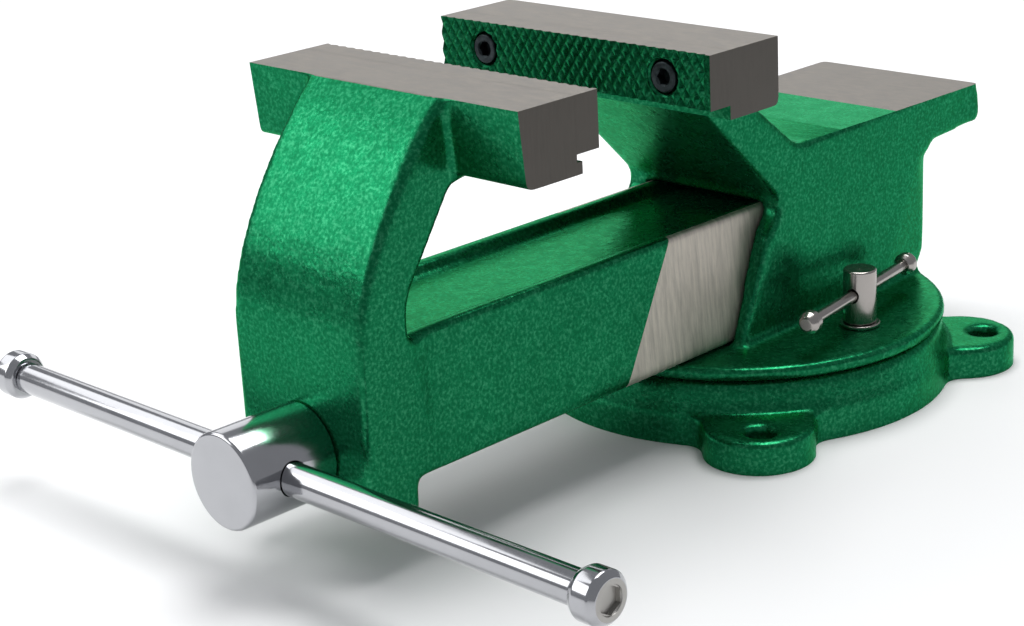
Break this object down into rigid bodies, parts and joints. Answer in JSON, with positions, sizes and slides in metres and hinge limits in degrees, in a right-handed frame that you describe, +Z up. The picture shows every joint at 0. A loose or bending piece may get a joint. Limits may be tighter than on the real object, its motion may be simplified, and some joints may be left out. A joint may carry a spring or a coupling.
{
  "type": "bench vise",
  "caption": "Bench vise with a swivel base: a screw-driven front jaw on a sliding beam grips work against a fixed jaw with an anvil behind it.",
  "frame": {"origin": "where the swivel axis meets the bench top", "axes": "+Z up along the swivel axis, +Y from the handle towards the anvil along the screw, +X to the right across the jaws as the operator stands at the handle"},
  "size_m": [0.3434, 0.4273, 0.178],
  "materials": {
    "base_casting": "green hammered gloss enamel on cast iron",
    "body_casting": "green hammered gloss enamel on cast iron, machined bare on the jaw top, jaw ends and anvil",
    "jaw_casting": "green hammered gloss enamel on cast iron, machined bare on the jaw top and jaw ends",
    "ground_steel": "ground steel with cut serrations",
    "black_screws": "black oxide steel",
    "chrome_steel": "bright chrome plate",
    "nickel_steel": "satin nickel plate",
    "spring_steel": "oiled spring steel",
    "bronze": "as-cast bronze with a bored thread"
  },
  "bodies": {
    "base": {"swivel_base": "base_casting"},
    "body": {"fixed_body": "body_casting", "fixed_jaw_plate": "ground_steel", "fixed_plate_screw_left": "black_screws", "fixed_plate_screw_right": "black_screws", "spindle_nut": "bronze", "nut_bolt_front": "black_screws", "nut_bolt_rear": "black_screws", "lock_washer_left": "nickel_steel", "lock_washer_right": "nickel_steel", "lock_t_nut_left": "black_screws", "lock_t_nut_right": "black_screws"},
    "front_jaw": {"moving_jaw": "jaw_casting", "moving_jaw_plate": "ground_steel", "moving_plate_screw_left": "black_screws", "moving_plate_screw_right": "black_screws"},
    "spindle": {"spindle": "chrome_steel", "spindle_washer": "nickel_steel", "take_up_spring": "spring_steel", "retaining_collar": "nickel_steel", "collar_pin": "spring_steel"},
    "handle": {"handle_bar": "chrome_steel", "handle_knob_left": "chrome_steel", "handle_knob_right": "chrome_steel"},
    "lock_left": {"lock_screw_left": "nickel_steel"},
    "lock_right": {"lock_screw_right": "nickel_steel"},
    "tommy_left": {"tommy_bar_left": "nickel_steel", "tommy_knob_left_front": "nickel_steel", "tommy_knob_left_rear": "nickel_steel"},
    "tommy_right": {"tommy_bar_right": "nickel_steel", "tommy_knob_right_front": "nickel_steel", "tommy_knob_right_rear": "nickel_steel"}
  },
  "joints": [
    {"name": "swivel", "type": "hinge", "parent": "base", "child": "body", "pos_m": [0, 0, 0.03], "axis": [0, 0, 1], "continuous": true},
    {"name": "jaw_slide", "type": "slide", "parent": "body", "child": "front_jaw", "axis": [0, 1, 0], "range_m": [-0.086, 0.0637]},
    {"name": "spindle_turn", "type": "hinge", "parent": "front_jaw", "child": "spindle", "pos_m": [0, -0.2614, 0.0465], "axis": [0, 1, 0], "range_deg": [-6200, 4600]},
    {"name": "handle_slide", "type": "slide", "parent": "spindle", "child": "handle", "axis": [1, 0, 0], "range_m": [-0.1445, 0.1357]},
    {"name": "lock_turn_left", "type": "hinge", "parent": "body", "child": "lock_left", "pos_m": [-0.0655, 0.003, 0.05], "axis": [0, 0, 1], "range_deg": [-1.5, 18]},
    {"name": "lock_turn_right", "type": "hinge", "parent": "body", "child": "lock_right", "pos_m": [0.0655, 0.003, 0.05], "axis": [0, 0, 1], "range_deg": [-18, 1.5]},
    {"name": "tommy_slide_left", "type": "slide", "parent": "lock_left", "child": "tommy_left", "axis": [0.153, 0.9882, 0], "range_m": [-0.0338, 0.0338]},
    {"name": "tommy_slide_right", "type": "slide", "parent": "lock_right", "child": "tommy_right", "axis": [-0.153, 0.9882, 0], "range_m": [-0.0338, 0.0338]}
  ],
  "couplings": [
    {"joint": "spindle_turn", "follows": "jaw_slide", "rad_per_m": 1256.6}
  ]
}
